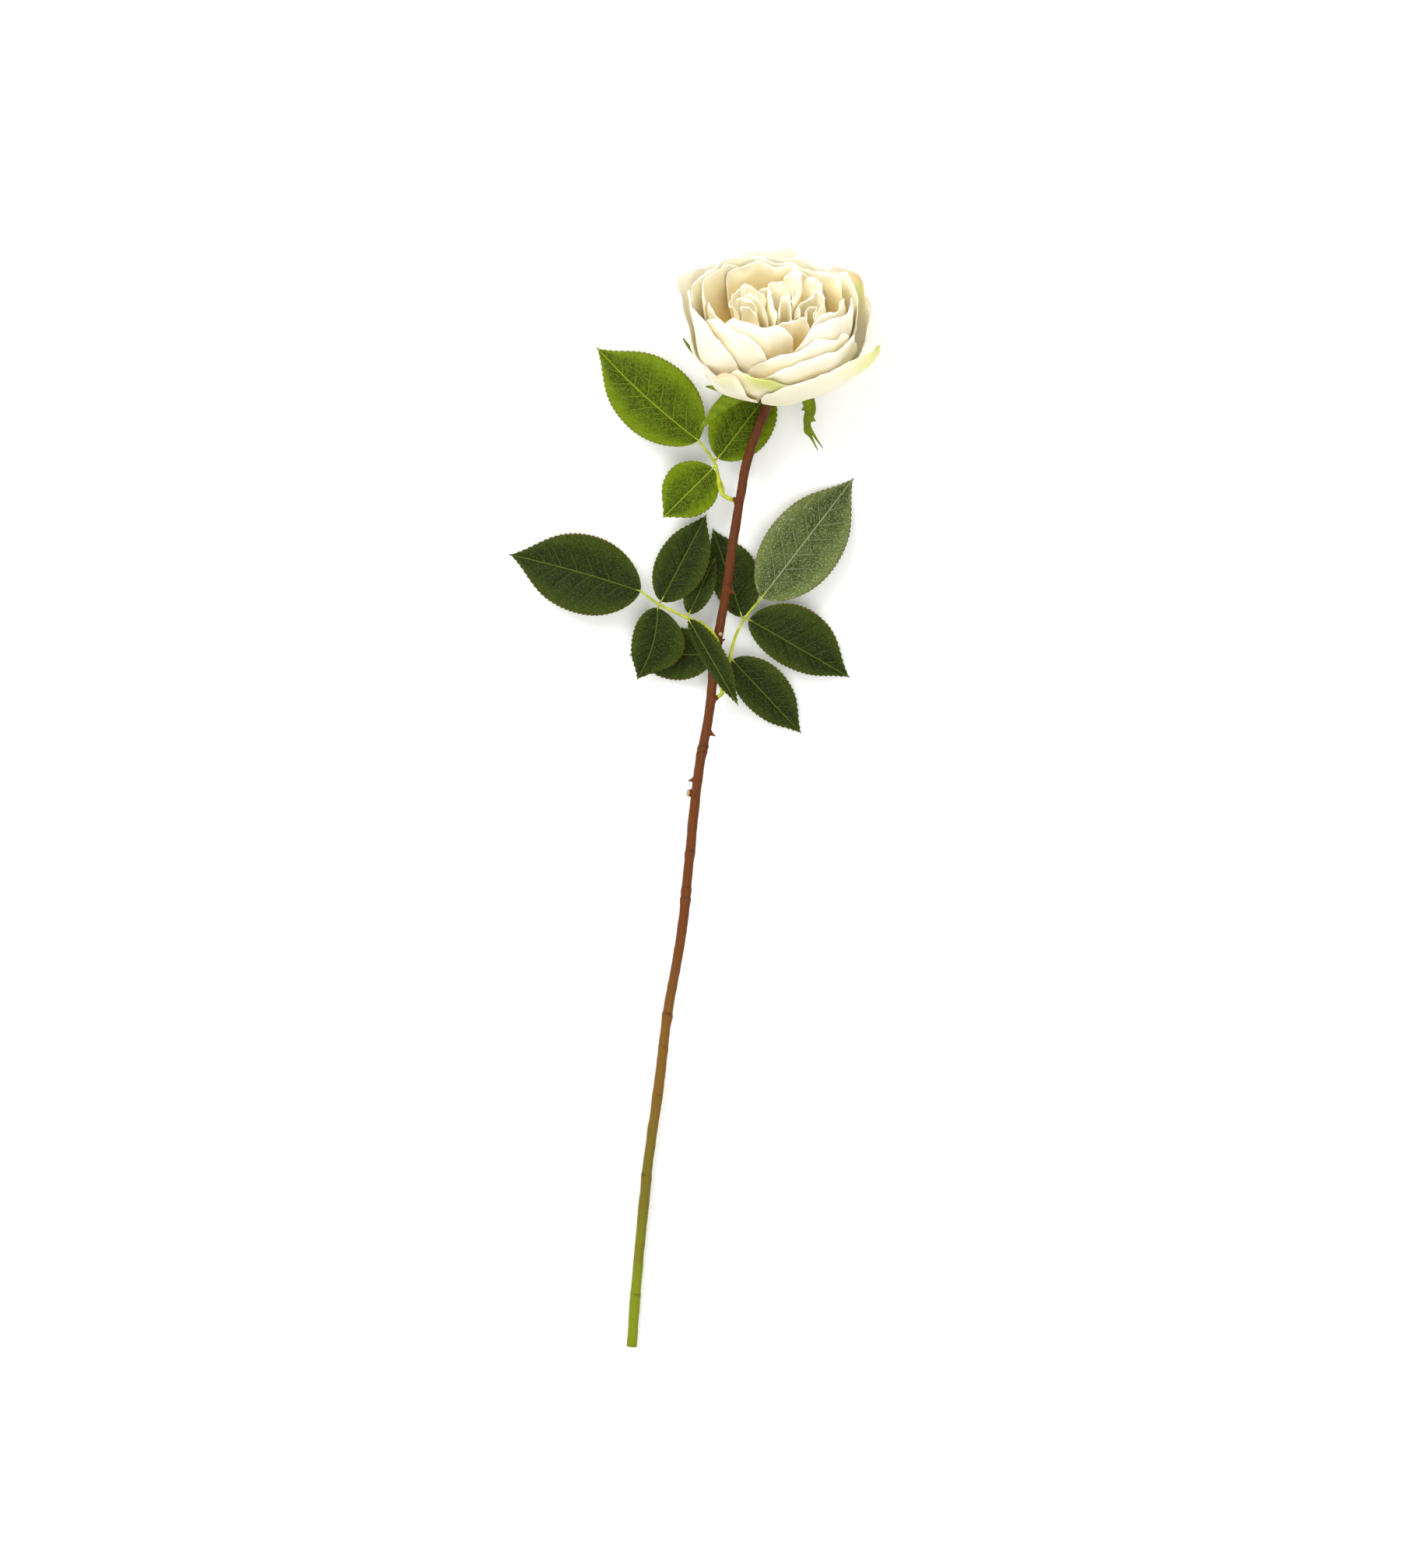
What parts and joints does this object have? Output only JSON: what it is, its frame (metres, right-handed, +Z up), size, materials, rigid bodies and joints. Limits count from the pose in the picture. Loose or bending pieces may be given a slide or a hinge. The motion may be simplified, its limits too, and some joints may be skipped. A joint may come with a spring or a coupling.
{
  "type": "cut rose",
  "caption": "Cream garden rose with a cupped, folded bloom, compound leaves and a thorny stem, cut and lying on its side.",
  "frame": {"origin": "on the surface that the rose lies on, under the middle of the whole rose", "axes": "+Z up from the surface, +Y from the cut end of the stem towards the bloom, +X to the right seen from above"},
  "size_m": [0.209, 0.6195, 0.0923],
  "materials": {
    "outer_petal": "matt, satiny outer petal, ivory with a green tip and a blush at the rim",
    "petal": "matt, satiny ivory petal, warmer and yellower towards its root",
    "inner_petal": "matt, satiny folded petal, cream with an amber root",
    "leaf": "matt dark green leaf with a fine speckle and paler raised veins",
    "leaf_young": "matt bright green leaf with a fine speckle, paler veins and a yellower margin",
    "leaf_stalk": "smooth yellow-green leaf stalk",
    "sepal": "matt olive green sepal",
    "stem": "smooth waxy stem, red-brown near the bloom and lime green at the cut end"
  },
  "bodies": {
    "root": {"stem": "stem", "receptacle": "sepal", "guard_petal_1": "outer_petal", "guard_petal_2": "outer_petal", "guard_petal_3": "outer_petal", "guard_petal_4": "outer_petal", "guard_petal_5": "outer_petal", "guard_petal_6": "outer_petal", "cup_petal_1": "petal", "cup_petal_2": "petal", "cup_petal_3": "petal", "cup_petal_4": "petal", "cup_petal_5": "petal", "cup_petal_6": "petal", "cup_petal_7": "petal", "cup_petal_8": "petal", "cup_petal_9": "petal", "inner_petal_1": "petal", "inner_petal_2": "petal", "inner_petal_3": "petal", "inner_petal_4": "petal", "inner_petal_5": "petal", "inner_petal_6": "petal", "folded_petal_1": "inner_petal", "folded_petal_2": "inner_petal", "folded_petal_3": "inner_petal", "folded_petal_4": "inner_petal", "folded_petal_5": "inner_petal", "folded_petal_6": "inner_petal", "folded_petal_7": "inner_petal", "folded_petal_8": "inner_petal", "folded_petal_9": "inner_petal", "folded_petal_10": "inner_petal", "folded_petal_11": "inner_petal", "folded_petal_12": "inner_petal", "folded_petal_13": "inner_petal", "folded_petal_14": "inner_petal", "leaflet_1a": "leaf_young", "leaflet_1b": "leaf_young", "leaflet_1c": "leaf_young", "leaflet_2a": "leaf", "leaflet_2b": "leaf", "leaflet_2c": "leaf", "leaflet_2d": "leaf", "leaflet_2e": "leaf", "leaflet_3a": "leaf", "leaflet_3b": "leaf", "leaflet_3c": "leaf", "leaflet_3d": "leaf", "leaflet_3e": "leaf", "rachis_1": "leaf_stalk", "rachis_2": "leaf_stalk", "rachis_3": "leaf_stalk", "sepal_1": "sepal", "sepal_2": "sepal", "sepal_3": "sepal", "sepal_4": "sepal", "sepal_5": "sepal"}
  },
  "joints": []
}
